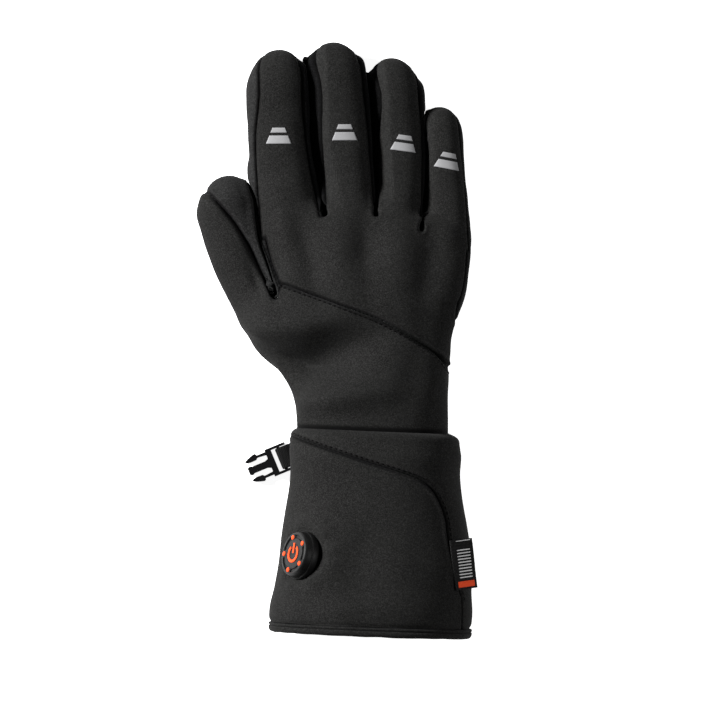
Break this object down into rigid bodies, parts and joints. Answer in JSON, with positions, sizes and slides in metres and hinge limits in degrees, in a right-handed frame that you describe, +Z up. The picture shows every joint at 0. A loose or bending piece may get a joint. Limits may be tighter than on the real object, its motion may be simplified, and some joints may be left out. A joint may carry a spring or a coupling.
{
  "type": "heated glove",
  "caption": "Padded black right-hand glove with a long flared cuff, rubber push button, buckle half and side label.",
  "frame": {"origin": "on the flat underside, in the middle of the palm", "axes": "+X towards the little finger's side, +Y towards the fingertips, +Z up from the palm to the back of the hand"},
  "size_m": [0.1561, 0.3353, 0.0779],
  "materials": {
    "outer_cloth": "matte, finely heathered",
    "palm_cloth": "matte",
    "button_rubber": "satin",
    "orange_print": "matte",
    "buckle_plastic": "gloss",
    "woven_tape": "matte, woven",
    "reflective_print": "reflective, grey"
  },
  "bodies": {
    "root": {"back_panel": "outer_cloth", "wrist_panel": "outer_cloth", "thumb_panel": "palm_cloth", "palm_panel": "palm_cloth", "gusset_index_middle": "outer_cloth", "gusset_middle_ring": "outer_cloth", "gusset_ring_little": "outer_cloth", "cuff_panel": "outer_cloth", "cuff_wedge_panel": "outer_cloth", "hem_band": "outer_cloth", "button_body": "button_rubber", "button_symbol_arc": "orange_print", "button_symbol_bar": "orange_print", "button_light_1": "orange_print", "button_light_2": "orange_print", "button_light_3": "orange_print", "button_light_4": "orange_print", "button_light_5": "orange_print", "buckle_half": "buckle_plastic", "webbing_tab": "woven_tape", "side_label": "woven_tape", "mark_index_lower": "reflective_print", "mark_index_upper": "reflective_print", "mark_middle_lower": "reflective_print", "mark_middle_upper": "reflective_print", "mark_ring_lower": "reflective_print", "mark_ring_upper": "reflective_print", "mark_little_lower": "reflective_print", "mark_little_upper": "reflective_print"}
  },
  "joints": []
}
